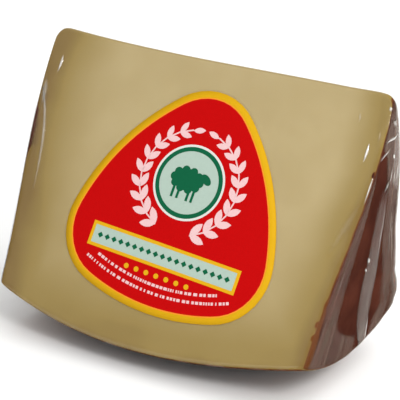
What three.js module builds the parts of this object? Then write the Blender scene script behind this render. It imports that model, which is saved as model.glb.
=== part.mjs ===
// A wedge cut from a wheel of pecorino, vacuum packed in clear film, with a rounded three-cornered
// label on one cut face. The wedge stands on the bulging rim of the wheel with its point edge, the
// ridge, on top. Millimetres, +Z up. X runs along the wheel's axis, from one of its flat faces to
// the other, and the labelled cut face looks towards -Y. The origin is on the flat spot below the
// middle of the ridge, where the wedge rests.

import * as THREE from 'three';
import { mergeVertices } from 'three/addons/utils/BufferGeometryUtils.js';

// The wheel and the slice taken from it
const WHEEL_RADIUS = 92;            // from the ridge to the fullest part of the rim
const SHOULDER_RADIUS = 83.4;       // where the rim meets the wheel's flat faces
const RIM_SKEW = 0.16;              // the rim is a little fuller towards -X
const RIDGE_LENGTH = 110;
const HALF_ANGLE = THREE.MathUtils.degToRad(24);
const FOOT_DEPTH = 0.4;             // pressed flat where the wedge rests

// The wheel's flat faces swell a little below the ridge, draw in, and flare again at the rim:
// half the length is RIDGE_LENGTH / 2 times 1 + FACE_SWELL r - FACE_TAPER r^2 + FACE_FLARE r^3,
// with r the distance from the ridge as a share of WHEEL_RADIUS
const FACE_SWELL = 0.25;
const FACE_TAPER = 0.74;
const FACE_FLARE = 0.42;

// How the tight film rounds the wedge off
const NOSE_RADIUS = 1.6;            // across the ridge
const RIM_EDGE_RADIUS = 1.8;
const RIDGE_END_RADIUS = 3.2;
const RIDGE_SAG = 0.9;
const SAG_SKEW = 1.2;               // the ridge sags most towards -X
const CUT_FACE_CROWN = 1.1;         // the cut faces stand proud by this in the middle

// The sticker: three equal corners joined by three bowed sides
const LABEL_CORNER_REACH = 19;      // from the label's middle to the centre of a corner
const LABEL_CORNER_RADIUS = 17.7;
const LABEL_SIDE_RADIUS = 70;
const LABEL_STRETCH = 1.025;        // a little taller than an equal-sided one
const LABEL_THICKNESS = 0.35;
const LABEL_GAP = 0.3;
const LABEL_SHIFT = 0.9;            // its middle, along +X from the middle of the face
const LABEL_FROM_RIDGE = 49.6;      // its middle, down the cut face from the ridge
const LABEL_TURN = THREE.MathUtils.degToRad(-4.3);

// How finely the surfaces are divided
const WEDGE_SEGMENTS = { along: 32, across: 14, up: 26 };
const EDGE_CROWDING = 0.85;         // 0 for even spacing, 1 for lines that crowd at the edges
const LABEL_SPOKES = 72;
const LABEL_RINGS = 7;

const RIDGE_HEIGHT = WHEEL_RADIUS - FOOT_DEPTH;
const BLOCK_HALF = new THREE.Vector3(RIDGE_LENGTH / 2, 40, WHEEL_RADIUS / 2);
const { lerp, smoothstep } = THREE.MathUtils;

// From the middle of the wheel, 0, to a flat face, -1 or 1, drawn closer together at the ends
function crowded(share) {
  return lerp(share, Math.sin((share * Math.PI) / 2), EDGE_CROWDING);
}

// A point on the plain block, moved in to the block's rounded edges and corners
function roundedBlockPoint(share) {
  const point = share.clone().multiply(BLOCK_HALF);
  const edgeRadius = lerp(RIM_EDGE_RADIUS, RIDGE_END_RADIUS, smoothstep(share.z, -1, 1));
  const coreHalf = BLOCK_HALF.clone().subScalar(edgeRadius);
  const core = point.clone().clamp(coreHalf.clone().negate(), coreHalf);
  const outward = point.sub(core).setLength(edgeRadius);
  return core.add(outward).divide(BLOCK_HALF);
}

function rimRadius(along) {
  const bulge = (1 - along * along) * (1 - RIM_SKEW * along);
  return lerp(SHOULDER_RADIUS, WHEEL_RADIUS, bulge);
}

function halfLength(distanceFromRidge) {
  const r = distanceFromRidge / WHEEL_RADIUS;
  return (RIDGE_LENGTH / 2) * (1 + r * (FACE_SWELL - r * (FACE_TAPER - r * FACE_FLARE)));
}

// A point of the wedge's section: y across it, and x straight down from the ridge
function sectionPoint(along, across, up) {
  const rim = rimRadius(along);
  const rimTurn = across * HALF_ANGLE;
  const onRim = new THREE.Vector2(rim * Math.cos(rimTurn), rim * Math.sin(rimTurn));
  const noseTurn = across * (Math.PI / 2 - HALF_ANGLE);
  const noseCentre = NOSE_RADIUS / Math.sin(HALF_ANGLE);
  const onNose = new THREE.Vector2(
    noseCentre - NOSE_RADIUS * Math.cos(noseTurn),
    NOSE_RADIUS * Math.sin(noseTurn),
  );
  return onRim.lerp(onNose, (up + 1) / 2);
}

// How far a cut face stands out at a place on it
function faceCrown(along, up) {
  return CUT_FACE_CROWN * (1 - along * along) * (1 - up * up);
}

// Where a place on the unit block comes to lie on the wedge
function wedgePoint(share) {
  const { x: along, y: across, z: up } = roundedBlockPoint(share);
  const section = sectionPoint(along, across, up);
  const x = along * halfLength(section.length());
  const crown = faceCrown(along, up) * across;
  const sag = RIDGE_SAG * (1 - along * along) * (1 - SAG_SKEW * along) * smoothstep(up, 0.2, 1);
  const y = section.y + crown * Math.cos(HALF_ANGLE);
  const depth = section.x - Math.abs(crown) * Math.sin(HALF_ANGLE) + sag;
  return new THREE.Vector3(x, y, Math.max(RIDGE_HEIGHT - depth, 0));
}

function reshaped(geometry, placeOf) {
  geometry.deleteAttribute('normal');
  geometry.deleteAttribute('uv');
  const merged = mergeVertices(geometry, 1e-5);
  const position = merged.getAttribute('position');
  const vertex = new THREE.Vector3();
  for (let i = 0; i < position.count; i++) {
    vertex.fromBufferAttribute(position, i);
    const placed = placeOf(vertex);
    position.setXYZ(i, placed.x, placed.y, placed.z);
  }
  merged.computeVertexNormals();
  return merged;
}

function wedgeGeometry() {
  const { along, across, up } = WEDGE_SEGMENTS;
  const block = new THREE.BoxGeometry(2, 2, 2, along, across, up);
  return reshaped(block, (v) => wedgePoint(new THREE.Vector3(crowded(v.x), crowded(v.y), crowded(v.z))));
}

// The label's outline: each bowed side runs smoothly into the round corner after it
function labelOutline() {
  const outline = new THREE.Shape();
  const third = (2 * Math.PI) / 3;
  const reach = LABEL_SIDE_RADIUS - LABEL_CORNER_RADIUS;
  const lean = Math.asin((LABEL_CORNER_REACH * Math.sin(third / 2)) / reach);
  const setBack = reach * Math.cos(lean) - LABEL_CORNER_REACH * Math.cos(third / 2);
  for (let side = 0; side < 3; side++) {
    const facing = third * (side + 0.25);
    const corner = facing + third / 2;
    outline.absarc(
      -setBack * Math.cos(facing),
      -setBack * Math.sin(facing),
      LABEL_SIDE_RADIUS,
      facing - lean,
      facing + lean,
    );
    outline.absarc(
      LABEL_CORNER_REACH * Math.cos(corner),
      LABEL_CORNER_REACH * Math.sin(corner),
      LABEL_CORNER_RADIUS,
      facing + lean,
      facing + third - lean,
    );
  }
  return outline.getSpacedPoints(LABEL_SPOKES).slice(0, LABEL_SPOKES);
}

// A place on the labelled cut face, x along it and down from the ridge, at a height above the film
function onCutFace(x, down, height) {
  const along = x / halfLength(down);
  const noseStart = NOSE_RADIUS / Math.tan(HALF_ANGLE);
  const rim = rimRadius(along);
  const up = (2 * (rim - down)) / (rim - noseStart) - 1;
  const proud = faceCrown(along, up) + height;
  return new THREE.Vector3(
    x,
    -down * Math.sin(HALF_ANGLE) - proud * Math.cos(HALF_ANGLE),
    RIDGE_HEIGHT - down * Math.cos(HALF_ANGLE) + proud * Math.sin(HALF_ANGLE),
  );
}

// A turned disc, its spokes stretched to the outline and the whole laid on the crowned cut face
function labelGeometry() {
  const outline = labelOutline();
  const profile = [];
  for (let ring = 0; ring <= LABEL_RINGS; ring++) {
    profile.push(new THREE.Vector2(ring / LABEL_RINGS, 0));
  }
  for (let ring = LABEL_RINGS; ring >= 0; ring--) {
    profile.push(new THREE.Vector2(ring / LABEL_RINGS, LABEL_THICKNESS));
  }
  const disc = new THREE.LatheGeometry(profile, LABEL_SPOKES);
  return reshaped(disc, (v) => {
    const turn = Math.atan2(-v.z, v.x) / (2 * Math.PI);
    const spoke = (Math.round(turn * LABEL_SPOKES) + LABEL_SPOKES) % LABEL_SPOKES;
    const place = outline[spoke].clone().multiplyScalar(Math.hypot(v.x, v.z));
    place.y *= LABEL_STRETCH;
    place.rotateAround(new THREE.Vector2(), LABEL_TURN);
    return onCutFace(LABEL_SHIFT + place.x, LABEL_FROM_RIDGE - place.y, LABEL_GAP + v.y);
  });
}

function piece(name, geometry, colour, roughness) {
  const material = new THREE.MeshStandardMaterial({ color: colour, roughness, metalness: 0 });
  const mesh = new THREE.Mesh(geometry, material);
  mesh.name = name;
  return mesh;
}

const pecorino = new THREE.Group();
pecorino.add(piece('film_pack', wedgeGeometry(), '#c7b585', 0.3));
pecorino.add(piece('label', labelGeometry(), '#d2150f', 0.45));

export default pecorino;
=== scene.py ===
"""A vacuum-packed wedge of pecorino: the looks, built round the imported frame.

The wedge stands on its rim with the ridge on top. X runs along the ridge, the labelled cut face
looks towards -Y, and every place on a face is given by how far along the face it is and how far
down from the ridge. Sizes are metres, and MM turns millimetres into them.
"""

import math
import random
from collections import namedtuple

import bmesh
import bpy
from bpy.props import FloatProperty, FloatVectorProperty, PointerProperty
from mathutils import Matrix, Vector, noise
from mathutils.bvhtree import BVHTree
from mathutils.geometry import interpolate_bezier


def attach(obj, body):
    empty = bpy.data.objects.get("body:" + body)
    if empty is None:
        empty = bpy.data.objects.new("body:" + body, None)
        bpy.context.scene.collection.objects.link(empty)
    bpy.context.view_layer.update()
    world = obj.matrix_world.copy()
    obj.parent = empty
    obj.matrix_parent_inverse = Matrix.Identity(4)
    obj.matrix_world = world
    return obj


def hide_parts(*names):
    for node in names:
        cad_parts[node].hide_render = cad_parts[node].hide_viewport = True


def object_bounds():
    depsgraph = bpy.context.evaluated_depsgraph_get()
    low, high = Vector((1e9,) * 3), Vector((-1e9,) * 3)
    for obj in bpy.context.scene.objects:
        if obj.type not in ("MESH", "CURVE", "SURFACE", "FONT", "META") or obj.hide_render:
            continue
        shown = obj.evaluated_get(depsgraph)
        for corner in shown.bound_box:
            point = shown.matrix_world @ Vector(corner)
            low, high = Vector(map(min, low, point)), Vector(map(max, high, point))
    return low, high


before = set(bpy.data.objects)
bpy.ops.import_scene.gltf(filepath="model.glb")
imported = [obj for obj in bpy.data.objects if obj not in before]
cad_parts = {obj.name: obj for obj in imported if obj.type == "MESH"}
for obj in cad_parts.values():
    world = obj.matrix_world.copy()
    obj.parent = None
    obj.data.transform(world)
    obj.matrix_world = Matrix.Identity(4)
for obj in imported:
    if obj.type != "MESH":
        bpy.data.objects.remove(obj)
CAD_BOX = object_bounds()

bl_info = {
    "name": "Pecorino wedge",
    "version": (1, 0, 0),
    "blender": (4, 5, 0),
    "location": "View3D > Sidebar > Pecorino",
    "description": "Builds a vacuum-packed wedge of pecorino with its label, and a studio round it",
    "category": "Add Mesh",
}

MM = 0.001
HALF_ANGLE = math.radians(24)
RIDGE_HEIGHT = 91.6 * MM
OUTSIDE = 30 * MM

# The flat frame of each side of the wedge: where it starts, and which way its "along", "down" and
# "out" run. The cut faces hang from the ridge, the ends are the wheel's flat faces.
Side = namedtuple("Side", "start along down out")
CUT_DOWN = Vector((0, math.sin(HALF_ANGLE), -math.cos(HALF_ANGLE)))
CUT_OUT = Vector((0, math.cos(HALF_ANGLE), math.sin(HALF_ANGLE)))
TURNED = Matrix.Diagonal((1, -1, 1))
RIDGE = Vector((0, 0, RIDGE_HEIGHT))
X, Y, DOWN = Vector((1, 0, 0)), Vector((0, 1, 0)), Vector((0, 0, -1))
RIGHT_END = X * CAD_BOX[1].x
SIDES = {
    "front": Side(RIDGE, X, TURNED @ CUT_DOWN, TURNED @ CUT_OUT),
    "back": Side(RIDGE, X, CUT_DOWN, CUT_OUT),
    "right": Side(RIDGE + RIGHT_END, Y, DOWN, X),
    "left": Side(RIDGE - RIGHT_END, Y, DOWN, -X),
}


def srgb(*screen):
    """A colour picked as screen values from 0 to 255, in the linear light that shaders use."""
    return tuple(((c / 255 + 0.055) / 1.055) ** 2.4 if c > 10 else c / 255 / 12.92 for c in screen)


def colour(name, description, red, green, blue):
    return FloatVectorProperty(
        name=name, description=description, subtype="COLOR", min=0, max=1, default=srgb(red, green, blue)
    )


def length(name, description, millimetres):
    return FloatProperty(name=name, description=description, subtype="DISTANCE", unit="LENGTH",
                         default=millimetres * MM)


def number(name, description, default):
    return FloatProperty(name=name, description=description, default=default)


def direction(name, description, default):
    return FloatVectorProperty(name=name, description=description, subtype="DIRECTION", default=default)


# ---------------- settings


class CheeseSettings(bpy.types.PropertyGroup):
    inset: length("Inset", "How far the cheese lies inside the film", 0.15)
    ripe_left: number("Ripeness, left", "Under 1 the darker paste there and by the rim is wider", 0.65)
    ripe_right: number("Ripeness, right", "The same by the right end near the ridge", 1.38)
    ripe_low: number("Ripeness, right and low", "The same by the right end near the rim", 0.85)
    # Painted shade: the paste by the left end is drawn darker, as if nearer the rind, towards the edge
    painted_edge_shade: length("Dark edge", "How much nearer the rind the paste by the left end seems", 2.2)
    pale_by_rim: length("Pale by the rim", "The paste is as pale against the rim as this far from an end", 4)
    paste: colour("Paste", "The cut cheese in the middle of a face", 168, 151, 111)
    # Also the colour of the painted shade on the top at the ridge
    outer_paste_and_ridge_shade: colour("Outer paste", "The cut cheese close to the rind", 139, 119, 69)
    paste_deep: colour("Paste by the rind", "The cut cheese against the rind", 117, 95, 55)
    rind_line: colour("Line under the rind", "The thin line where paste meets rind", 98, 57, 29)
    rind: colour("Rind", "The treated rind", 79, 42, 32)
    rind_deep: colour("Rind shade", "The darker patches of the rind", 55, 28, 22)


class FilmSettings(bpy.types.PropertyGroup):
    roughness: number("Roughness", "How blurred the film's reflections are", 0.06)
    index: number("Refraction", "The film's index of refraction", 1.5)
    most_mirror: number("Most mirrored", "Cap on the film's reflection at its edges", 0.15)
    # Partly a painted reflection: the haze colours stand in, in part, for the bright room mirrored where the
    # film stands off the rind
    haze: colour("Haze", "The film where it stands off the rind", 122, 89, 79)
    haze_cool: colour("Cool haze", "The greyer streaks of the haze", 102, 92, 77)
    milk: colour("Folded film", "The film where it lies double", 168, 156, 148)
    # Painted highlight: the white laid along the creases stands in for the light they catch
    painted_glint: colour("Creased film", "The film where a crease is stretched white", 236, 232, 224)
    band_lift: length("Band height", "How far the broad folds stand off the rind", 0.4)
    crease_height: length("Crease height", "How far the thin creases stand proud", 0.3)
    fold_height: length("Fold height", "How far the pressed fold stands proud", 0.25)
    film_thickness: length("Film thickness", "The film itself, in creases and folds", 0.06)
    unevenness: length("Unevenness", "The small waves of the film on the rind", 0.06)


class LabelSettings(bpy.types.PropertyGroup):
    lift: length("Lift", "The face of the label above the film", 0.16)
    thickness: length("Thickness", "The label's own thickness", 0.12)
    ink: length("Ink", "How far one printed colour lies over the next", 0.03)
    border_width: length("Border", "Width of the coloured border", 2)
    line_width: length("Line", "Width of the line inside the border", 0.35)
    border: colour("Border", "The border", 196, 150, 18)
    line: colour("Inner line", "The line inside the border", 220, 134, 40)
    field: colour("Field", "The ground of the label", 175, 5, 6)
    pale: colour("Pale print", "Leaves and small print", 214, 178, 178)
    mint: colour("Mint print", "The medallion and the band", 160, 178, 166)
    white: colour("White print", "The medallion's ring", 200, 202, 196)
    green: colour("Green print", "The ring and the sheep", 14, 86, 56)
    yellow: colour("Yellow print", "The band's edges and the small marks", 204, 156, 24)


class StageSettings(bpy.types.PropertyGroup):
    azimuth: number("Azimuth", "Camera, round from the front, in degrees", 25.5005)
    elevation: number("Elevation", "Camera, above the floor, in degrees", 17.9074)
    roll: number("Roll", "Camera, about its own axis, in degrees", 5.4977)
    distance: length("Distance", "Camera, from the middle of the wedge", 561.66)
    lens: number("Lens", "Focal length in millimetres", 167.5)
    floor: colour("Floor", "The pale floor", 246, 246, 245)
    zenith: number("Light from above", "Strength of the room light overhead", 0.55)
    horizon: number("Light from the side", "Strength of the room light low down", 0.3)
    glow: number("Glow", "Strength of the broad soft light", 1.48)
    glow_heading: direction("Glow heading", "Where the broad soft light stands", (0.5, -0.5, 0.82))
    back_glow: number("Back glow", "Strength of the soft light behind", 1)
    back_heading: direction("Back glow heading", "Where the light behind stands", (0.25, 0.62, 0.6))
    key: number("Key light", "Power in watts", 2.1)


# ---------------- mesh helpers


def merged_copy(node):
    """A CAD node's surface as a mesh of four-sided faces, its loose corners joined."""
    bm = bmesh.new()
    bm.from_mesh(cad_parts[node].data)
    bmesh.ops.remove_doubles(bm, verts=bm.verts, dist=0.002 * MM)
    bmesh.ops.join_triangles(
        bm, faces=bm.faces, angle_face_threshold=math.radians(30), angle_shape_threshold=math.radians(50)
    )
    bm.normal_update()
    return bm


def made_object(bm, name, materials=()):
    """The mesh as an object of the scene, with its materials."""
    mesh = bpy.data.meshes.new(name)
    bm.to_mesh(mesh)
    bm.free()
    for material in materials:
        mesh.materials.append(material)
    made = bpy.data.objects.new(name, mesh)
    bpy.context.scene.collection.objects.link(made)
    return made


def smoothed(bm, levels):
    """The same surface after Catmull-Clark subdivision."""
    shape = made_object(bm, "smoothing")
    mesh = shape.data
    modifier = shape.modifiers.new("Subdivision", "SUBSURF")
    modifier.levels = modifier.render_levels = levels
    finer = bpy.data.meshes.new_from_object(shape.evaluated_get(bpy.context.evaluated_depsgraph_get()))
    result = bmesh.new()
    result.from_mesh(finer)
    bpy.data.objects.remove(shape)
    bpy.data.meshes.remove(mesh)
    bpy.data.meshes.remove(finer)
    result.normal_update()
    return result


def finished(bm, name, materials, stands_for=()):
    """Makes the mesh a piece of the pack."""
    piece = made_object(bm, name, materials)
    piece.data.shade_smooth()
    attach(piece, "root")
    if stands_for:
        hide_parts(*stands_for)
    return piece


def surface_of(bm):
    """A mesh's surface, to drop other pieces on."""
    tree = BVHTree.FromBMesh(bm)
    bm.free()
    return tree


def on_pack(tree, side, along, down, height=0):
    """The place on a surface below a point of a side's flat frame, lifted by a height."""
    flat = SIDES[side]
    above = flat.start + flat.along * along + flat.down * down + flat.out * OUTSIDE
    place = tree.ray_cast(above, -flat.out)[0]
    if place is None:
        raise RuntimeError(f"nothing of the pack lies under {along:.4f}, {down:.4f} on the {side} side")
    return place + flat.out * height


def round_the_ridge(point):
    """A point's distance from the ridge in millimetres, and its turn about it in degrees, front negative."""
    down = RIDGE_HEIGHT - point.z
    return math.hypot(point.y, down) / MM, math.degrees(math.atan2(point.y, down))


def rind_facing(vertex):
    """1 where the surface is one of the wheel's outer faces, 0 on a cut face."""
    outward = Vector((0, vertex.co.y, vertex.co.z - RIDGE_HEIGHT))
    rim = max(vertex.normal.dot(outward.normalized()), 0)
    return max(abs(vertex.normal.x), rim ** 8)


def smoothstep(low, high, value):
    share = min(max((value - low) / (high - low), 0), 1)
    return share * share * (3 - 2 * share)


def plateau(rise, fall, value):
    """0, up to 1 over the first pair of values, and back to 0 over the second."""
    return smoothstep(*rise, value) * (1 - smoothstep(*fall, value))


def given_body(bm, thickness):
    """Makes open sheets closed, with their faces outwards."""
    bmesh.ops.solidify(bm, geom=bm.faces[:], thickness=thickness)
    bmesh.ops.recalc_face_normals(bm, faces=bm.faces)


# How the film bulges by the right end: over the low part of the far edge, more at one knuckle there,
# a little up at the ridge, and inwards above. Heights and distances from the ridge are millimetres,
# BULGE_STARTS is along the wedge, and turns about the ridge are degrees.
LOW_BULGE, LOW_RISE, LOW_FALL = 0.3, (60, 66), (82, 90)
KNUCKLE_BULGE, KNUCKLE_RISE, KNUCKLE_FALL = 0.9, (68, 74), (76, 82)
RIDGE_LIFT, RIDGE_FALL = 0.3, (3, 12)
TOP_LEAN, TOP_FALL = 0.6, (48, 61)
BULGE_STARTS = (40, 52)
FAR_EDGE_TURNS, TOP_TURNS = (8, 20), (0, 14)


def pack_copy():
    """The pack's surface, fine enough to paint, with the bulges of its right end."""
    bm = smoothed(merged_copy("film_pack"), 2)
    for vertex in bm.verts:
        distance, turn = round_the_ridge(vertex.co)
        by_the_end = smoothstep(*BULGE_STARTS, vertex.co.x / MM) * MM
        low = LOW_BULGE * plateau(LOW_RISE, LOW_FALL, distance)
        knuckle = KNUCKLE_BULGE * plateau(KNUCKLE_RISE, KNUCKLE_FALL, distance)
        top = TOP_LEAN * (1 - smoothstep(*TOP_FALL, distance)) * smoothstep(*TOP_TURNS, turn)
        vertex.co.x += ((low + knuckle) * smoothstep(*FAR_EDGE_TURNS, turn) - top) * by_the_end
        vertex.co.z += RIDGE_LIFT * (1 - smoothstep(*RIDGE_FALL, distance)) * by_the_end
    return bm


# ---------------- material helpers


def add(tree, kind, inputs=None, **settings):
    """A shader node with its settings, its values set and its links made."""
    node = tree.nodes.new("ShaderNode" + kind)
    for key, value in settings.items():
        setattr(node, key, value)
    for socket, value in (inputs or {}).items():
        if isinstance(value, bpy.types.NodeSocket):
            tree.links.new(value, node.inputs[socket])
        else:
            node.inputs[socket].default_value = value
    return node


def empty_material(name):
    material = bpy.data.materials.new(name)
    material.use_nodes = True
    material.node_tree.nodes.clear()
    return material


def finish_material(material, shader):
    add(material.node_tree, "OutputMaterial", {"Surface": shader})
    return material


def blotches(tree, scale, detail=3, roughness=0.55):
    """Soft noise on the piece's own place, from 0 to 1."""
    place = add(tree, "TexCoord").outputs["Object"]
    return add(tree, "TexNoise", {"Vector": place, "Scale": scale, "Detail": detail,
                                  "Roughness": roughness}).outputs["Fac"]


def attribute(tree, name):
    return add(tree, "Attribute", attribute_name=name).outputs["Fac"]


def ranged(tree, value, low, high, to_low=0, to_high=1, kind="SMOOTHSTEP"):
    return add(tree, "MapRange", {"Value": value, "From Min": low, "From Max": high, "To Min": to_low,
                                  "To Max": to_high}, interpolation_type=kind).outputs["Result"]


def maths(tree, operation, first, second=0):
    return add(tree, "Math", {0: first, 1: second}, operation=operation).outputs[0]


def mixed(tree, share, first, second):
    """Between two colours, or two colour sockets."""
    first, second = (end if isinstance(end, bpy.types.NodeSocket) else (*end, 1) for end in (first, second))
    return add(tree, "Mix", {"Factor": share, 6: first, 7: second}, data_type="RGBA").outputs[2]


def mottled_material(name, base, grain, most, darker, roughness, sheen):
    """One colour with a faint darker mottle of some grain, under a soft sheen."""
    material = empty_material(name)
    tree = material.node_tree
    mottle = ranged(tree, blotches(tree, *grain), 0.3, 0.7, 0, most)
    shade = mixed(tree, mottle, base, tuple(c * darker for c in base))
    shader = add(tree, "BsdfPrincipled", {"Base Color": shade, "Roughness": roughness,
                                          "Specular IOR Level": sheen})
    return finish_material(material, shader.outputs[0])


# ---------------- the cheese


# How far the surface has turned to the wheel's outside where the brown line and the rind begin, and
# how far their borders wander: little by the left end, more by the right
LINE_FROM, RIND_FROM = (0.54, 0.62), (0.78, 0.92)
WANDER_LEFT, WANDER_RIGHT = 0.12, 0.6
# Depths under the rind between which the paste changes, and how far those wander
OUTER_AT, PALING, DEPTH_WANDER = 4.5 * MM, (3 * MM, 19 * MM), 1.2 * MM
MOTTLE = 0.16
# How far the paste facing up at the ridge is darkened towards the outer colour: painted shade on the top
PAINTED_RIDGE_SHADE = 0.7


def cheese_material(settings):
    """Paste and rind in one finish: the rind starts where the surface turns to the wheel's outside."""
    material = empty_material("cheese")
    tree = material.node_tree
    outer = settings.outer_paste_and_ridge_shade
    along = add(tree, "SeparateXYZ", {0: add(tree, "TexCoord").outputs["Object"]}).outputs["X"]
    ragged = maths(tree, "MULTIPLY", maths(tree, "SUBTRACT", blotches(tree, 260, 4), 0.5),
                   ranged(tree, along, -10 * MM, 10 * MM, WANDER_LEFT, WANDER_RIGHT))
    facing = maths(tree, "ADD", attribute(tree, "rind"), ragged)
    line = ranged(tree, maths(tree, "ADD", facing, attribute(tree, "line_stain")), *LINE_FROM)
    rind = ranged(tree, maths(tree, "ADD", facing, attribute(tree, "rind_stain")), *RIND_FROM)
    wander = ranged(tree, blotches(tree, 40, 2), 0.3, 0.7, -DEPTH_WANDER, DEPTH_WANDER)
    # The seeming depth carries the painted shade of the left edge as well as the distance from the rind
    depth = maths(tree, "ADD", attribute(tree, "rind_depth_and_edge_shade"), wander)
    edge = mixed(tree, ranged(tree, depth, 0, OUTER_AT, kind="LINEAR"), settings.paste_deep, outer)
    paste = mixed(tree, ranged(tree, depth, *PALING), edge, settings.paste)
    paste = mixed(tree, ranged(tree, blotches(tree, 70, 4), 0.36, 0.64, 0, MOTTLE), paste, outer)
    # Painted shade: the paste facing up at the ridge is darkened towards the outer colour
    paste = mixed(tree, maths(tree, "MULTIPLY", attribute(tree, "ridge"), PAINTED_RIDGE_SHADE), paste, outer)
    crust = mixed(tree, ranged(tree, blotches(tree, 90, 5), 0.25, 0.75), settings.rind, settings.rind_deep)
    edged = mixed(tree, line, paste, settings.rind_line)
    base = mixed(tree, rind, edged, crust)
    grain = add(tree, "Bump", {"Height": blotches(tree, 700, 4), "Strength": 0.03,
                               "Distance": 0.2 * MM}).outputs["Normal"]
    shader = add(tree, "BsdfPrincipled", {
        "Base Color": base, "Roughness": ranged(tree, rind, 0, 1, 0.5, 0.6), "Normal": grain,
        "Subsurface Weight": 0.12, "Subsurface Radius": (1, 0.7, 0.35), "Subsurface Scale": 2.5 * MM,
        "Specular IOR Level": 0,
    })
    return finish_material(material, shader.outputs[0])


# Stretches where the rind shows otherwise than elsewhere along an edge: both ends of the stretch and
# its half width in millimetres, then how much further its brown line and the rind itself reach
Stain = namedtuple("Stain", "start end reach line rind")
STAINS = [Stain(*row) for row in (
    ((52.1, -25.5, 33.3), (52, -25.9, 32.3), 0.9, 0.4, -0.2),
    ((52, -26.6, 30.4), (51.7, -28.6, 25.6), 1.5, 0.05, -0.6),
    ((51.1, -28.4, 27.7), (51, -28.7, 26.9), 0.8, 0.7, 0),
    ((51.6, -28.9, 24.2), (51.4, -30.2, 19.6), 2, 0.05, -0.6),
    ((50.9, -29.8, 24.3), (50.8, -30.2, 23.3), 0.8, 0.65, 0),
    ((51.4, -30.4, 18.6), (51, -32.2, 14.6), 2.2, 0.05, -0.6),
    ((54.6, -21, 44.5), (54.6, -21.4, 43.5), 1, 0.45, 0.1),
    ((55.4, -10.4, 68.6), (55.4, -10.8, 67.8), 0.9, 0.7, 0.9),
    ((-55.2, -13, 61.8), (-55, -15.2, 57), 8.5, 0.42, 0.72),
    ((51, 31.5, 22), (52.2, 28, 29), 1.8, 0.5, -0.4),
    ((54.6, 22, 42), (54.8, 21, 44.5), 1.4, 0.5, 0.2),
    ((-52, 30, 25.5), (-50.8, 32.5, 20), 2.2, 0.6, -0.4),
    ((-20, 36, 8), (-12, 36.2, 7.4), 1.8, 0.6, 0.2),
)]


def share_of(stretch, point):
    """How far within a stretch a point is: 1 along its middle, 0 from its half width on."""
    start, end = Vector(stretch.start) * MM, Vector(stretch.end) * MM
    along = min(max((point - start).dot(end - start) / (end - start).length_squared, 0), 1)
    return 1 - smoothstep(0.3, 1, (point - start.lerp(end, along)).length / (stretch.reach * MM))


TURNED_OUT = 0.7


def rind_tree(bm, on_an_end):
    """The rind of both ends, or of the rim alone, to measure how far a point of the paste is from it."""
    faces = [f for f in bm.faces if all(rind_facing(v) > TURNED_OUT for v in f.verts)
             and (abs(f.normal.x) > TURNED_OUT) == on_an_end]
    verts = [v.co.copy() for v in bm.verts]
    return BVHTree.FromPolygons(verts, [[v.index for v in f.verts] for f in faces])


# Distances from the ridge, in millimetres, over which the paste changes: by the right end from its
# ripeness on top to the low one, and from the pale corner; by the left end as its painted edge shade widens
RIPENESS_TURNS, CORNER_PALES, EDGE_WIDENS = (20, 65), (12, 26), (40, 75)
# The painted edge shade's width on top, how much wider it is below, and its soft border
EDGE_WIDE, EDGE_WIDER, EDGE_SOFT = 6, 4, 5
RIM_PALES = (-1, 3)


def seeming_depth(settings, point, to_end, to_rim):
    """How far from the rind the paste at a point looks, by its distances to the ends' rind and the rim's; by
    the left end it looks nearer, a painted shade of the edge.
    """
    distance = round_the_ridge(point)[0]
    if point.x > 0:
        low = smoothstep(*RIPENESS_TURNS, distance)
        from_end = to_end * (settings.ripe_right + (settings.ripe_low - settings.ripe_right) * low)
        from_end = max(from_end, settings.pale_by_rim * (1 - smoothstep(*CORNER_PALES, distance)))
    else:
        wide = EDGE_WIDE + EDGE_WIDER * smoothstep(*EDGE_WIDENS, distance)
        # Painted shade: by the left end the paste is drawn as if nearer the rind, darker towards the edge
        edge = settings.painted_edge_shade * (1 - smoothstep(wide, wide + EDGE_SOFT, to_end / MM))
        from_end = to_end * settings.ripe_left - edge
    pale = settings.pale_by_rim * smoothstep(*RIM_PALES, to_rim / MM)
    return min(from_end, max(to_rim * settings.ripe_left, pale))


class PECORINO_OT_cheese(bpy.types.Operator):
    """Build the wedge of cheese, paste and rind, just inside the film"""

    bl_idname = "pecorino.cheese"
    bl_label = "Cheese"

    def execute(self, context):
        settings = context.scene.pecorino_cheese
        bm = pack_copy()
        bm.verts.index_update()
        ends, rim = rind_tree(bm, True), rind_tree(bm, False)
        names = ("rind", "rind_depth_and_edge_shade", "line_stain", "rind_stain", "ridge")
        facing, depth, line_stain, rind_stain, ridge = (bm.verts.layers.float.new(name) for name in names)
        for vertex in bm.verts:
            vertex[facing] = rind_facing(vertex)
            to_end, to_rim = ends.find_nearest(vertex.co)[3], rim.find_nearest(vertex.co)[3]
            vertex[depth] = seeming_depth(settings, vertex.co, to_end, to_rim)
            share, strongest = max((share_of(stain, vertex.co), index) for index, stain in enumerate(STAINS))
            vertex[line_stain] = share * STAINS[strongest].line
            vertex[rind_stain] = share * STAINS[strongest].rind
            # How far the surface faces up, for the painted shade on the top at the ridge
            vertex[ridge] = smoothstep(0.75, 0.98, vertex.normal.z)
        for vertex in bm.verts:
            vertex.co -= vertex.normal * settings.inset
        finished(bm, "cheese", [cheese_material(settings)])
        return {"FINISHED"}
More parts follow.
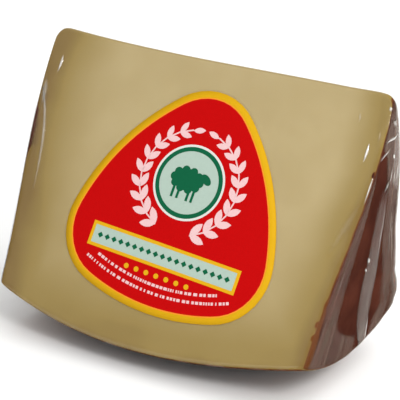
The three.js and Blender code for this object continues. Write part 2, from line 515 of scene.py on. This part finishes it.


# ---------------- the film

# A broad fold on an end, where the film stands off the rind: rows of a distance from the ridge in
# millimetres and the two turns about it that bound the fold there, in degrees, then its haze, partly
# a painted reflection of the bright room, and its height as shares, and how soft its borders are in degrees
Band = namedtuple("Band", "rows haze height soft")
BANDS = {
    "right": [
        Band([(20, -26, -24), (28, -26, -20), (40, -26, -17.2), (54, -26, -15.4), (62, -24.6, -14.7),
              (68, -23.2, -13.9), (71, -22.8, -12.5), (74, -22.6, -6.7), (77, -22.4, 1), (95, -22.2, 2)],
             0.44, 0.6, 1.4),
        Band([(24, 4, 26), (30, 5.5, 26), (41, 7.6, 26), (48, 9, 26), (56, 11.7, 26), (62, 13.6, 24),
              (67, 13.9, 20.5), (73, 13.9, 18.3), (76.6, 11, 17.5), (80, 8.6, 17), (95, 8, 15)],
             0.46, 0.35, 1.4),
        Band([(1, -26, 26), (13, -26, 26), (18, -21, 26), (20, -9, 26), (25, -3, 26), (31, 3, 26),
              (38, 14, 26), (46, 26, 26)], 0.55, 0.4, 2.5),
        Band([(1, -4, 26), (14, 0, 26), (22, 6, 26), (30, 9, 26), (36, 20, 26)], 0.95, 0.4, 5),
        Band([(22, 10, 13), (34, 11.5, 14), (60, 16, 18), (74, 17, 18), (78, 17.5, 17.5)], 0.6, 0.4, 1.2),
    ],
    "left": [
        Band([(22, -26, -22), (50, -26, -19), (80, -26, -14), (95, -26, -12)], 0.5, 0.15, 1.8),
        Band([(34, -9, -6), (60, -10, -4), (80, -9, -1), (95, -8, 1)], 0.55, 0.9, 1.2),
        Band([(18, 4, 9), (44, 6, 13), (70, 8, 15), (95, 9, 19)], 0.45, 0.8, 1.8),
        Band([(50, 20, 26), (70, 18, 26), (95, 17, 26)], 0.5, 0.7, 1.6),
    ],
}
BAND_FADE = 9
# Where the film stands off the paste by the left end, and how hazy it is there
Clouding = namedtuple("Clouding", "start end reach haze")
CLOUDINGS = [
    Clouding((-53.9, -10.3, 68.8), (-52.8, -15.8, 56), 2.5, 0.15),
    Clouding((-54.6, 16, 56), (-53.4, 21, 44), 3.2, 0.25),
]


def edge_at(rows, distance):
    """Both borders of a band at a distance from the ridge."""
    for low, high in zip(rows, rows[1:]):
        if distance <= high[0]:
            share = (distance - low[0]) / (high[0] - low[0])
            return tuple(a + (b - a) * share for a, b in zip(low[1:], high[1:]))
    return rows[-1][1:]


def band_shares(side, point):
    """The haze and the height of the film at a point of an end, as shares."""
    distance, turn = round_the_ridge(point)
    haze = height = 0
    for band in BANDS[side]:
        begin = smoothstep(band.rows[0][0], band.rows[0][0] + BAND_FADE, distance)
        if begin == 0:
            continue
        low, high = edge_at(band.rows, distance)
        inside = plateau((low - band.soft, low + band.soft), (high - band.soft, high + band.soft), turn)
        haze = max(haze, begin * inside * band.haze)
        height = max(height, begin * inside * band.height)
    return haze, height


def see_through(tree, settings, haze, veil, gloss_share):
    """Film that veils what lies under it by a share of a colour and mirrors the studio on its outside."""
    clear = add(tree, "BsdfTransparent", {"Color": (0.99, 0.985, 0.97, 1)}).outputs[0]
    gloss = add(tree, "BsdfGlossy", {"Color": (1, 1, 1, 1), "Roughness": settings.roughness}).outputs[0]
    body = add(tree, "BsdfDiffuse", {"Color": haze}).outputs[0]
    veiled = add(tree, "MixShader", {0: veil, 1: clear, 2: body}).outputs[0]
    outside = maths(tree, "SUBTRACT", 1, add(tree, "NewGeometry").outputs["Backfacing"])
    mirror = maths(tree, "MULTIPLY", add(tree, "Fresnel", {"IOR": settings.index}).outputs[0], outside)
    mirror = maths(tree, "MULTIPLY", maths(tree, "MINIMUM", mirror, settings.most_mirror), gloss_share)
    return add(tree, "MixShader", {0: mirror, 1: veiled, 2: gloss}).outputs[0]


def radial_streaks(tree, across, along):
    """Noise drawn out along the lines that run from the ridge to the rim."""
    place = add(tree, "SeparateXYZ", {0: add(tree, "TexCoord").outputs["Object"]}).outputs
    down = maths(tree, "SUBTRACT", RIDGE_HEIGHT, place["Z"])
    turn = maths(tree, "ARCTAN2", place["Y"], down)
    squares = maths(tree, "ADD", maths(tree, "POWER", place["Y"], 2), maths(tree, "POWER", down, 2))
    polar = add(tree, "CombineXYZ", {
        0: maths(tree, "MULTIPLY", turn, across),
        1: maths(tree, "MULTIPLY", maths(tree, "SQRT", squares), along),
        2: maths(tree, "MULTIPLY", place["X"], 40),
    }).outputs[0]
    return add(tree, "TexNoise", {"Vector": polar, "Scale": 1, "Detail": 3, "Roughness": 0.5}).outputs["Fac"]


def film_material(settings):
    """Clear film: dull where it clings to the rind, hazy and glossy where it stands off it; its haze is
    partly a painted reflection of the bright room.
    """
    material = empty_material("clear_film")
    tree = material.node_tree
    streaks = ranged(tree, radial_streaks(tree, 45, 30), 0.36, 0.64, 0.6, 1.25)
    cloudy = ranged(tree, blotches(tree, 420, 3), 0.36, 0.64, 0.8, 1.15)
    tone = mixed(tree, ranged(tree, radial_streaks(tree, 85, 24), 0.4, 0.6), settings.haze,
                 settings.haze_cool)
    haze = maths(tree, "MULTIPLY", maths(tree, "MULTIPLY", attribute(tree, "haze"), streaks), cloudy)
    gloss = maths(tree, "POWER", attribute(tree, "loose"), 2.6)
    return finish_material(material, see_through(tree, settings, tone, haze, gloss))


def fold_material(name, settings, body, most, shine):
    """Film lying double, milky along its middle, and stretched creases, painted white along their middle as
    a highlight; clear at the borders.
    """
    material = empty_material(name)
    tree = material.node_tree
    patchy = ranged(tree, radial_streaks(tree, 70, 40), 0.38, 0.62, 0.45 * most, most)
    milk = maths(tree, "MULTIPLY", attribute(tree, "milk"), patchy)
    gloss = ranged(tree, attribute(tree, "milk"), 0, 0.5, 0, shine)
    return finish_material(material, see_through(tree, settings, (*body, 1), milk, gloss))


# Sizes of the film's small waves on the rind, and on the rim
WAVE, RIM_WAVES = 7 * MM, (6 * MM, 30 * MM)
# How hazy the film is on the rim, partly a painted reflection of the bright floor
RIM_HAZE = 0.4
# How far a surface has turned outwards where it begins to count as an end, and as rind
END_FROM, ALL_RIND_FROM = (0.7, 0.95), (0.6, 0.9)
# The broad folds sink between these distances from the ridge, and nothing moves where the pack
# stands on the floor, in millimetres
FOLDS_SINK, OFF_THE_FLOOR = (74, 88), (0.5, 4)


class PECORINO_OT_film(bpy.types.Operator):
    """Build the clear film, tight on the cut faces and folded on the rind"""

    bl_idname = "pecorino.film"
    bl_label = "Clear film"

    def execute(self, context):
        settings = context.scene.pecorino_film
        bm = pack_copy()
        haze_layer = bm.verts.layers.float.new("haze")
        loose_layer = bm.verts.layers.float.new("loose")
        moves = []
        for vertex in bm.verts:
            end = smoothstep(*END_FROM, abs(vertex.normal.x))
            rind = smoothstep(*ALL_RIND_FROM, rind_facing(vertex))
            haze, height = band_shares("right" if vertex.co.x > 0 else "left", vertex.co)
            wave = noise.noise(vertex.co / WAVE)
            on_rim = Vector((vertex.co.x / RIM_WAVES[0], vertex.co.y / RIM_WAVES[1], 4))
            rim = (rind - end) * smoothstep(-0.2, 0.5, noise.noise(on_rim))
            clouded = max(share_of(cloud, vertex.co) * cloud.haze for cloud in CLOUDINGS)
            # The haze, partly a painted reflection: bands on the ends, patches on the rim, clouding by the
            # left end
            haze = max(haze * end, RIM_HAZE * max(rim, 0), clouded)
            vertex[haze_layer] = haze
            edge = smoothstep(0.05, 0.3, rind_facing(vertex)) * (1 - smoothstep(-0.1, 0.5, wave))
            vertex[loose_layer] = max(1 - max(rind, edge), min(haze, 1), 0.8 * (rind - end))
            height *= 1 - smoothstep(*FOLDS_SINK, round_the_ridge(vertex.co)[0])
            rise = height * end * settings.band_lift + rind * (0.5 + 0.5 * wave) * settings.unevenness
            moves.append(vertex.normal * rise * smoothstep(*OFF_THE_FLOOR, vertex.co.z / MM))
        for vertex, move in zip(bm.verts, moves):
            vertex.co += move
        finished(bm, "film", [film_material(settings)], ["film_pack"])
        return {"FINISHED"}


# A thin raised crease of film: the side it lies on, the four points that lead its curve (along and
# down, millimetres), its half width at its start, middle and end, its height and how white it is
# painted, that white being a painted highlight
Crease = namedtuple("Crease", "side path half_widths height milk")
CREASES = [Crease(*row) for row in (
    ("front", [(-55.2, 22), (-51.5, 28), (-49, 38), (-48.2, 54)], (0.3, 0.6, 0.4), 0.5, 0.5),
    ("front", [(-54.7, 18.5), (-54.3, 21), (-54, 24), (-53.6, 28)], (0.4, 1.2, 0.5), 0.15, 0.3),
    ("front", [(-51.3, 11), (-51, 12.8), (-51.1, 14.6), (-51.6, 16.8)], (0.2, 0.5, 0.2), 0.9, 0.9),
    ("front", [(51.8, 17), (52, 18.6), (51.9, 20.4), (51.6, 22.8)], (0.2, 0.45, 0.3), 1.2, 1.6),
    ("front", [(55, 5.7), (55.2, 6), (55.4, 6.4), (55.5, 6.9)], (0.2, 0.5, 0.2), 1, 1.4),
    ("front", [(55.5, 26), (55.4, 28), (55.2, 31), (55, 34.5)], (0.1, 0.2, 0.08), 0.7, 1),
    ("front", [(46.8, 8.8), (47, 9.8), (47.1, 10.8), (47.3, 12.2)], (0.1, 0.35, 0.1), 0.15, 0.25),
    ("front", [(54, 12.5), (54.1, 14), (54.3, 15), (54.4, 16.4)], (0.1, 0.3, 0.1), 0.2, 0.15),
    ("front", [(54, 34), (52.5, 39), (50.5, 45), (48.8, 51)], (0.5, 1.4, 0.7), 0.1, 0.1),
    ("right", [(-6.1, 15), (-3.8, 13.9), (0.4, 15), (4.6, 14.2)], (0.3, 0.5, 0.4), 0.9, 0.6),
    ("right", [(-8.2, 19.8), (-7, 18.7), (-4.6, 18.2), (-1.2, 16.8)], (0.5, 0.6, 0.2), 0.4, 0.3),
    ("right", [(0.6, 19.8), (1.3, 20), (2.4, 20.5), (3.6, 21.5)], (0.3, 0.7, 0.2), 0.9, 1.3),
    ("right", [(0.6, 27.4), (0.2, 28.4), (-0.4, 29.4), (-1, 31)], (0.3, 0.9, 0.3), 0.8, 0.3),
    ("right", [(5, 24.5), (5.8, 26.5), (6.4, 28.5), (6.2, 31)], (0.2, 0.6, 0.2), 0.6, 0.3),
    ("right", [(-2.4, 9.3), (-0.8, 9.8), (1.2, 10.6), (2.8, 11.4)], (0.4, 1.2, 0.5), 0.3, 0.3),
    ("right", [(2.6, 23), (2, 25), (1.8, 27.5), (2.4, 30)], (0.3, 0.9, 0.4), 0.4, 0.35),
    ("right", [(7.4, 23), (8, 25.5), (8.4, 28), (8.2, 30.5)], (0.3, 0.8, 0.4), 0.4, 0.35),
    ("right", [(-2.6, 50.6), (-2.2, 51.4), (-1.6, 52), (-1, 52.6)], (0.3, 0.6, 0.3), 1.2, 1.1),
    ("right", [(-2.8, 54), (-2.4, 54.6), (-1.9, 55), (-1.3, 55.2)], (0.2, 0.4, 0.2), 0.9, 1.1),
    ("right", [(2, 32), (3.2, 40), (5, 48), (6.6, 56)], (0.1, 0.35, 0.2), 0.8, 0.4),
    ("right", [(9.9, 73), (10.2, 76.5), (10.3, 80), (10.8, 83.5)], (0.2, 0.45, 0.3), 0.5, 0.8),
    ("right", [(11, 38), (15, 46), (18.5, 54), (22, 62)], (0.1, 0.45, 0.2), 0.2, 0.2),
    ("right", [(8.6, 34), (11.5, 42), (15, 50), (17.5, 58)], (0.1, 0.4, 0.2), 0.3, 0.2),
    ("right", [(-16.5, 42), (-20, 50), (-22, 58), (-24.5, 68)], (0.1, 0.35, 0.1), 0.3, 0.12),
    ("left", [(-3, 20), (-4.2, 30), (-6.5, 44), (-9, 60)], (0.1, 0.5, 0.2), 1, 0.9),
    ("left", [(2, 15), (5.5, 20), (7, 27), (8.5, 38)], (0.2, 0.6, 0.2), 1, 1.2),
    ("left", [(-6, 15.5), (-2, 14.5), (1, 13.6), (4.5, 13.8)], (0.2, 0.5, 0.3), 1, 1.2),
    ("left", [(10, 52), (12.5, 60), (14, 68), (17, 78)], (0.1, 0.5, 0.2), 0.9, 0.8),
    ("left", [(22, 56), (25, 64), (28.5, 72), (30, 78)], (0.1, 0.4, 0.2), 0.8, 0.7),
    ("left", [(-17, 50), (-19, 58), (-20, 66), (-23, 76)], (0.1, 0.4, 0.2), 0.8, 0.6),
    ("back", [(50.6, 14), (50.8, 17), (50.6, 20), (50, 24)], (0.15, 0.4, 0.2), 1, 1.2),
    ("back", [(-50.8, 12), (-50.4, 15), (-50.8, 19), (-51.6, 24)], (0.1, 0.4, 0.15), 0.9, 1),
    ("back", [(-52.6, 30), (-49.5, 40), (-48.8, 50), (-49.2, 60)], (0.1, 0.35, 0.2), 0.5, 0.8),
    ("back", [(49.5, 58), (48.4, 64), (47.8, 70), (48.4, 77)], (0.1, 0.35, 0.1), 0.6, 0.8),
)]
CREASE_STEPS, CREASE_ROWS = 28, 6

# The pressed fold down the right end: its left and right border, along and down in millimetres
FOLD_LEFT = [(-2.9, 28), (-3.6, 36.5), (-3.3, 41), (-2.2, 50), (-1.8, 60), (-0.6, 69), (2.4, 76), (7, 83)]
FOLD_RIGHT = [(1.8, 28), (3.4, 36.5), (4.4, 41), (7.2, 50), (8.8, 60), (9.6, 69), (10, 76), (9.6, 83)]


def between(values, share):
    """A smooth run through three values."""
    first, middle, last = values
    if share < 0.5:
        return first + (middle - first) * smoothstep(0, 0.5, share)
    return middle + (last - middle) * smoothstep(0.5, 1, share)


def laid_strip(bm, surface, side, place, rise, milk):
    """Adds a strip of grid dropped on the film; place, rise and milk are given along and across."""
    layer = bm.verts.layers.float.get("milk") or bm.verts.layers.float.new("milk")
    strip = bmesh.ops.create_grid(bm, x_segments=CREASE_STEPS, y_segments=CREASE_ROWS, size=1)["verts"]
    for vertex in strip:
        share, across = (vertex.co.x + 1) / 2, vertex.co.y
        spot = place(share, across)
        vertex.co = on_pack(surface, side, spot.x, spot.y, rise(share, across))
        vertex[layer] = milk(share, across)


# How far off the film a crease's and the pressed fold's borders lie
CREASE_BORDER, FOLD_BORDER = 0.02 * MM, 0.03 * MM


def lay_crease(bm, surface, crease, settings):
    """A thin crease: bowed up across its width, fading out at both ends."""
    lead = [Vector((along * MM, down * MM, 0)) for along, down in crease.path]
    curve = interpolate_bezier(*lead, CREASE_STEPS + 1)

    def place(share, across):
        index = round(share * CREASE_STEPS)
        heading = (curve[min(index + 1, CREASE_STEPS)] - curve[max(index - 1, 0)]).normalized()
        sideways = Vector((-heading.y, heading.x, 0))
        return curve[index] + sideways * across * between(crease.half_widths, share) * MM

    def swell(share, across):
        return (1 - across * across) * math.sin(math.pi * share) ** 0.5 if 0 < share < 1 else 0

    def rise(share, across):
        return CREASE_BORDER + swell(share, across) * crease.height * settings.crease_height

    # The crease's painted highlight: white along its middle, fading towards its ends
    def milk(share, across):
        return min(crease.milk * swell(share, across) ** 2, 1.5)

    laid_strip(bm, surface, crease.side, place, rise, milk)


def lay_fold(bm, surface, settings):
    """The fold pressed down the right end, between its two borders."""

    def border(points, share):
        spot = share * (len(points) - 1)
        index = min(int(spot), len(points) - 2)
        low, high = Vector(points[index]), Vector(points[index + 1])
        return low.lerp(high, spot - index) * MM

    def place(share, across):
        return border(FOLD_LEFT, share).lerp(border(FOLD_RIGHT, share), (across + 1) / 2)

    def rise(share, across):
        return FOLD_BORDER + settings.fold_height * (1 - across ** 4) * smoothstep(0, 0.2, share)

    def milk(share, across):
        downwards = 0.45 * smoothstep(0, 0.15, share) + 0.2 * smoothstep(0.3, 0.6, share)
        return (downwards + 0.35 * smoothstep(0.75, 0.95, share)) * (0.8 + 0.2 * across)

    laid_strip(bm, surface, "right", place, rise, milk)


class PECORINO_OT_creases(bpy.types.Operator):
    """Lay the film's thin light-catching creases with painted highlights, and the fold pressed down the
    right end
    """

    bl_idname = "pecorino.creases"
    bl_label = "Film creases"

    def execute(self, context):
        settings = context.scene.pecorino_film
        film = bmesh.new()
        film.from_mesh(bpy.data.objects["film"].data)
        surface = surface_of(film)
        bm = bmesh.new()
        for crease in CREASES:
            lay_crease(bm, surface, crease, settings)
        given_body(bm, settings.film_thickness)
        # The creases' white is a painted highlight
        creased = fold_material("creased_film_painted_glint", settings, settings.painted_glint, most=0.55, shine=3)
        finished(bm, "film_creases", [creased])

        bm = bmesh.new()
        lay_fold(bm, surface, settings)
        given_body(bm, settings.film_thickness)
        folded = fold_material("folded_film", settings, settings.milk, most=0.38, shine=0.15)
        finished(bm, "film_fold", [folded])
        return {"FINISHED"}


# ---------------- the label

LABEL_MIDDLE = Vector((0.9, 49.6)) * MM
LABEL_TURN = math.radians(-4.3)
# The print is cut into cells this large, as far as this from the label's middle, in millimetres
PRINT_CELL, PRINT_REACH = 5, 40
INK_ABOVE_LABEL = 0.004 * MM
# Where shapes of one colour cross, each of this many lies a share of the ink above the last
CROSSING, CROSSING_LIFT = 5, 0.1


def on_label(surface, across, up, height):
    """A place on the label, from its own middle, on the pack's front."""
    turned = Matrix.Rotation(LABEL_TURN, 2) @ Vector((across, up))
    return on_pack(surface, "front", LABEL_MIDDLE.x + turned.x, LABEL_MIDDLE.y - turned.y, height)


def print_material(name, base):
    """Printed sticker stock, one ink."""
    return mottled_material(name, base, (900, 2), most=0.06, darker=0.6, roughness=0.5, sheen=0.04)


class PECORINO_OT_label(bpy.types.Operator):
    """Build the sticker with its border, inner line and field"""

    bl_idname = "pecorino.label"
    bl_label = "Label"

    def execute(self, context):
        settings = context.scene.pecorino_label
        surface = surface_of(merged_copy("film_pack"))
        bm = merged_copy("label")
        out = SIDES["front"].out
        bmesh.ops.delete(bm, geom=[f for f in bm.faces if f.normal.dot(out) < 0.8], context="FACES")
        for vertex in bm.verts:
            offset = vertex.co - SIDES["front"].start
            vertex.co = on_pack(surface, "front", offset.x, offset.dot(SIDES["front"].down), settings.lift)
        field = bm.faces[:]
        for index, width in ((0, settings.border_width), (1, settings.line_width)):
            band = bmesh.ops.inset_region(bm, faces=field, thickness=width, use_boundary=True,
                                          use_even_offset=True)
            for face in band["faces"]:
                face.material_index = index
        for face in field:
            face.material_index = 2
        given_body(bm, settings.thickness)
        inks = [print_material("label_" + name, getattr(settings, name))
                for name in ("border", "line", "field")]
        finished(bm, "label_sheet", inks, ["label"])
        return {"FINISHED"}


def placed(across, up, turn, wide=1, high=1):
    """The transform that moves, turns and stretches a flat shape of the print."""
    return (Matrix.Translation((across * MM, up * MM, 0)) @ Matrix.Rotation(turn, 4, "Z")
            @ Matrix.Diagonal((wide, high, 1, 1)))


def flat_disc(bm, across, up, wide, high, turn=0, segments=32):
    bmesh.ops.create_circle(bm, cap_ends=True, segments=segments, radius=1,
                            matrix=placed(across, up, turn, wide * MM, high * MM))


def flat_bar(bm, across, up, wide, high, turn=0):
    bmesh.ops.create_grid(bm, x_segments=1, y_segments=1, size=0.5,
                          matrix=placed(across, up, turn, wide * MM, high * MM))


def flat_leaf(bm, across, up, long, wide, turn):
    """A pointed leaf whose stem end is at the place given."""
    start = len(bm.verts)
    flat_disc(bm, 0, 0, long / 2, wide / 2, 0, 16)
    bm.verts.ensure_lookup_table()
    place = placed(across, up, turn)
    for vertex in bm.verts[start:]:
        share = abs(vertex.co.x) / (long * MM / 2)
        vertex.co.y *= 1 - 0.75 * share ** 3
        vertex.co.x += long * MM / 2
        vertex.co = place @ vertex.co


def print_piece(bm, name, settings, layer, ink):
    """Lays flat shapes on the label: cut into cells that follow its crown, and given a body."""
    surface = surface_of(merged_copy("film_pack"))
    for index, shape in enumerate(bm.faces):
        for vertex in shape.verts:
            vertex.co.z = (index % CROSSING) * settings.ink * CROSSING_LIFT
    cells = round(PRINT_REACH / PRINT_CELL)
    for normal in (X, Y):
        for step in range(-cells, cells + 1):
            bmesh.ops.bisect_plane(
                bm, geom=bm.verts[:] + bm.edges[:] + bm.faces[:], plane_co=normal * step * PRINT_CELL * MM,
                plane_no=normal,
            )
    given_body(bm, settings.ink)
    low = min(v.co.z for v in bm.verts)
    base = settings.lift + settings.ink * (layer - 1) + INK_ABOVE_LABEL
    for vertex in bm.verts:
        vertex.co = on_label(surface, vertex.co.x, vertex.co.y, base + vertex.co.z - low)
    finished(bm, name, [ink]).data.shade_flat()


# Places and sizes of the print, in millimetres from the label's middle; a branch runs between two
# angles in degrees, and the rows of dashes bend round a point above
MEDALLION_UP = 9.5
BRANCH_RADIUS, BRANCH_FROM, BRANCH_TO = 15.6, -68, 74
LEAVES, LEAF_LONG, LEAF_WIDE, LEAF_LEAN = 9, 5.2, 2.3, 0.62
STEM_WIDE = 0.45
BAND_UP = -13.4
DASHES_ROUND, DASH_HIGH = 40.1, 0.85


def branch(bm, side):
    """A laurel branch round the medallion, leaves in pairs and one at the tip; side is 1 or -1."""

    def on_circle(turn):
        return side * BRANCH_RADIUS * math.cos(turn), MEDALLION_UP + BRANCH_RADIUS * math.sin(turn)

    half = math.radians((BRANCH_TO - BRANCH_FROM) / LEAVES / 2)
    for step in range(LEAVES + 1):
        turn = math.radians(BRANCH_FROM + (BRANCH_TO - BRANCH_FROM) * step / LEAVES)
        size = 1 - 0.25 * step / LEAVES
        for lean in (0,) if step == LEAVES else (-LEAF_LEAN, LEAF_LEAN):
            heading = turn + math.pi / 2 + lean
            heading = heading if side > 0 else math.pi - heading
            flat_leaf(bm, *on_circle(turn), LEAF_LONG * size, LEAF_WIDE * size, heading)
        if step < LEAVES:
            middle = turn + half
            flat_bar(bm, *on_circle(middle), STEM_WIDE, 2.1 * BRANCH_RADIUS * half,
                     middle if side > 0 else math.pi - middle)


def small_print(bm, rng):
    """Rows of short plain dashes that follow the lower edge."""
    for radius, spread in ((64.6, 21.5), (62.2, 19)):
        turn = -spread
        while turn < spread:
            run = rng.uniform(0.3, 1.2)
            angle = math.radians(-90 + turn + run / 2)
            flat_bar(bm, radius * math.cos(angle), DASHES_ROUND + radius * math.sin(angle), run * 1.05,
                     DASH_HIGH, angle + math.pi / 2)
            turn += run + rng.choice((0.25, 0.25, 0.6))


def sheep(bm):
    """A plain sheep from the side: a woolly body with its curls, a head and four legs."""
    across, up = -0.8, 10.2
    flat_disc(bm, across, up, 4.7, 3.3)
    for turn in range(0, 360, 36):
        angle = math.radians(turn)
        flat_disc(bm, across + 4.2 * math.cos(angle), up + 2.8 * math.sin(angle), 1.3, 1.3, segments=16)
    flat_disc(bm, 5, 11.8, 2, 1.2, math.radians(-35), 20)
    for leg in (-4, -2.2, 1, 2.6):
        flat_bar(bm, leg, 5.8, 0.8, 3.4)


class PECORINO_OT_print(bpy.types.Operator):
    """Lay the label's print: medallion with a sheep, branches, band and rows of dashes"""

    bl_idname = "pecorino.print"
    bl_label = "Label print"

    def execute(self, context):
        settings = context.scene.pecorino_label
        inks = {name: print_material("print_" + name, getattr(settings, name))
                for name in ("pale", "mint", "white", "green", "yellow")}
        bm = bmesh.new()
        for side in (1, -1):
            branch(bm, side)
        small_print(bm, random.Random(7))
        print_piece(bm, "print_branches", settings, 1, inks["pale"])

        discs = (("print_medallion_edge", 11.4, "white"), ("print_medallion_ring", 10.7, "green"),
                 ("print_medallion", 9.4, "mint"))
        for layer, (name, radius, ink) in enumerate(discs, 1):
            bm = bmesh.new()
            flat_disc(bm, 0, MEDALLION_UP, radius, radius, segments=64)
            print_piece(bm, name, settings, layer, inks[ink])
        bm = bmesh.new()
        sheep(bm)
        print_piece(bm, "print_sheep", settings, 4, inks["green"])

        bm = bmesh.new()
        flat_bar(bm, 0, BAND_UP, 50, 7.4)
        for step in range(-3, 4):
            flat_disc(bm, step * 3.4, BAND_UP - 6, 0.8, 0.8, segments=12)
        print_piece(bm, "print_band_edge", settings, 1, inks["yellow"])
        bm = bmesh.new()
        flat_bar(bm, 0, BAND_UP, 48, 5.4)
        print_piece(bm, "print_band", settings, 2, inks["mint"])
        bm = bmesh.new()
        for step in range(-9, 10):
            flat_bar(bm, step * 2.4, BAND_UP, 1.3, 1.3, math.pi / 4)
        print_piece(bm, "print_band_marks", settings, 3, inks["green"])
        return {"FINISHED"}


# ---------------- the stage


def aimed_object(name, data, place, target, roll=0):
    """A lamp or camera that looks at a point."""
    made = bpy.data.objects.new(name, data)
    made.location = place
    heading = (target - made.location).to_track_quat("-Z", "Y")
    made.rotation_euler = (heading.to_matrix() @ Matrix.Rotation(roll, 3, "Z")).to_euler()
    bpy.context.scene.collection.objects.link(made)
    return made


MIDDLE = Vector((0, 0, 46)) * MM
CAMERA_AIM = Vector((-2.054, -1.249, 45.247)) * MM
KEY_PLACE, KEY_SIZE = Vector((0.44, -0.40, 0.44)), (0.17, 0.15)
# A broad soft light is full up to the first of these angles from its heading, and gone from the second
GLOW_FULL, GLOW_GONE = math.radians(12), math.radians(52)


class PECORINO_OT_stage(bpy.types.Operator):
    """Set the pale floor, the soft lights and the camera"""

    bl_idname = "pecorino.stage"
    bl_label = "Stage"

    def execute(self, context):
        settings = context.scene.pecorino_stage
        scene = context.scene

        bm = bmesh.new()
        bmesh.ops.create_grid(bm, x_segments=4, y_segments=4, size=4)
        pale = mottled_material("floor", settings.floor, (3, 3), most=0.05, darker=0.9, roughness=0.9,
                                sheen=0.1)
        made_object(bm, "floor", [pale])

        light = bpy.data.lights.new("key", "AREA")
        light.shape = "RECTANGLE"
        light.size, light.size_y = KEY_SIZE
        light.energy = settings.key
        aimed_object("key", light, KEY_PLACE, MIDDLE)

        world = bpy.data.worlds.new("studio")
        world.use_nodes = True
        scene.world = world
        tree = world.node_tree
        background = tree.nodes["Background"]
        heading = add(tree, "TexCoord").outputs["Generated"]
        height = add(tree, "SeparateXYZ", {0: heading}).outputs["Z"]
        room = ranged(tree, height, 0, 0.55, settings.horizon, settings.zenith)
        glows = ((settings.glow_heading, settings.glow), (settings.back_heading, settings.back_glow))
        for place, strength in glows:
            toward = add(tree, "VectorMath", {0: heading, 1: Vector(place).normalized()},
                         operation="DOT_PRODUCT").outputs["Value"]
            glow = ranged(tree, toward, math.cos(GLOW_GONE), math.cos(GLOW_FULL), 0, strength)
            room = maths(tree, "ADD", room, glow)
        tree.links.new(room, background.inputs["Strength"])
        background.inputs["Color"].default_value = (1, 1, 1, 1)
        scene.view_settings.view_transform = "Standard"

        turn, lift = math.radians(settings.azimuth), math.radians(settings.elevation)
        back = Vector((math.sin(turn) * math.cos(lift), -math.cos(turn) * math.cos(lift), math.sin(lift)))
        view = bpy.data.cameras.new("camera")
        view.lens = settings.lens
        view.sensor_width = 36
        place = MIDDLE + back * settings.distance
        scene.camera = aimed_object("camera", view, place, CAMERA_AIM, math.radians(settings.roll))
        return {"FINISHED"}


# ---------------- the add-on


class PECORINO_PT_panel(bpy.types.Panel):
    """Lists the pieces and their settings"""

    bl_idname = "PECORINO_PT_panel"
    bl_label = "Pecorino wedge"
    bl_space_type = "VIEW_3D"
    bl_region_type = "UI"
    bl_category = "Pecorino"

    def draw(self, context):
        for operator in OPERATORS:
            self.layout.operator(operator.bl_idname)
        for group in GROUPS:
            settings = getattr(context.scene, group)
            box = self.layout.box()
            for name in settings.bl_rna.properties.keys():
                if name not in ("rna_type", "name"):
                    box.prop(settings, name)


OPERATORS = (PECORINO_OT_cheese, PECORINO_OT_film, PECORINO_OT_creases, PECORINO_OT_label,
             PECORINO_OT_print, PECORINO_OT_stage)
GROUPS = {
    "pecorino_cheese": CheeseSettings,
    "pecorino_film": FilmSettings,
    "pecorino_label": LabelSettings,
    "pecorino_stage": StageSettings,
}
CLASSES = (*GROUPS.values(), *OPERATORS, PECORINO_PT_panel)


def register():
    for kind in CLASSES:
        bpy.utils.register_class(kind)
    for group, settings in GROUPS.items():
        setattr(bpy.types.Scene, group, PointerProperty(type=settings))


def unregister():
    for group in GROUPS:
        delattr(bpy.types.Scene, group)
    for kind in reversed(CLASSES):
        bpy.utils.unregister_class(kind)


def main():
    register()
    bpy.ops.pecorino.cheese()
    bpy.ops.pecorino.film()
    bpy.ops.pecorino.creases()
    bpy.ops.pecorino.label()
    bpy.ops.pecorino.print()
    bpy.ops.pecorino.stage()


if __name__ == "__main__":
    main()
